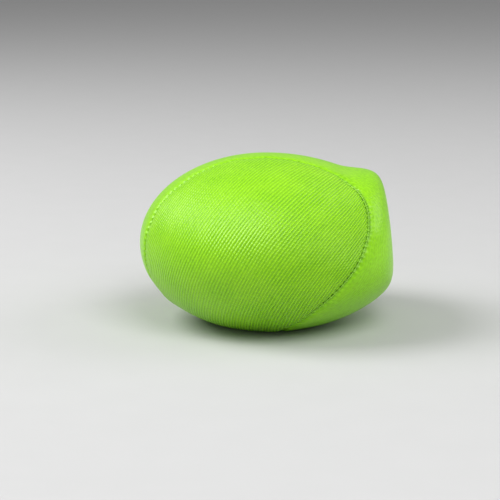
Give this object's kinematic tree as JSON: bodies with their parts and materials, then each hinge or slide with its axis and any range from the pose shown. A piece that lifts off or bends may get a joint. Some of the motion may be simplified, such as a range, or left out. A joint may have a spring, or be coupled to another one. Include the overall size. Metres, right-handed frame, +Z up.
{
  "type": "stress ball",
  "caption": "Palm-sized squeeze ball in a stretch fabric cover of two interlocking sewn panels over a soft filled bladder, pressed flat as in a closed hand.",
  "frame": {"origin": "middle of the footprint, on the surface that the ball rests on", "axes": "+Z up, the way the ball is pressed flat; the front, where one panel's lobe faces out, is towards -Y; the side pressed by the thumb is towards +X"},
  "size_m": [0.0664, 0.07, 0.0438],
  "materials": {
    "cover_fabric": "satin stretch knit with fine ribs",
    "sewing_thread": "twisted polyester thread",
    "bladder_skin": "smooth moulded rubber",
    "plug_rubber": "matt moulded rubber",
    "gel": "soft clear gel"
  },
  "bodies": {
    "palm_side": {"front_cover_panel": "cover_fabric", "side_cover_panel": "cover_fabric", "seam_thread": "sewing_thread", "closing_thread": "sewing_thread", "front_edge_thread": "sewing_thread", "side_edge_thread": "sewing_thread", "lower_bladder_half": "bladder_skin", "bladder_plug": "plug_rubber", "gel_filling": "gel"},
    "finger_side": {"upper_bladder_half": "bladder_skin"}
  },
  "joints": [
    {"name": "squeeze", "type": "slide", "parent": "palm_side", "child": "finger_side", "axis": [0, 0, -1], "range_m": [-0.017, 0.008], "deforming": ["front_cover_panel", "side_cover_panel", "seam_thread", "closing_thread", "front_edge_thread", "side_edge_thread", "upper_bladder_half", "lower_bladder_half", "bladder_plug", "gel_filling"]}
  ]
}
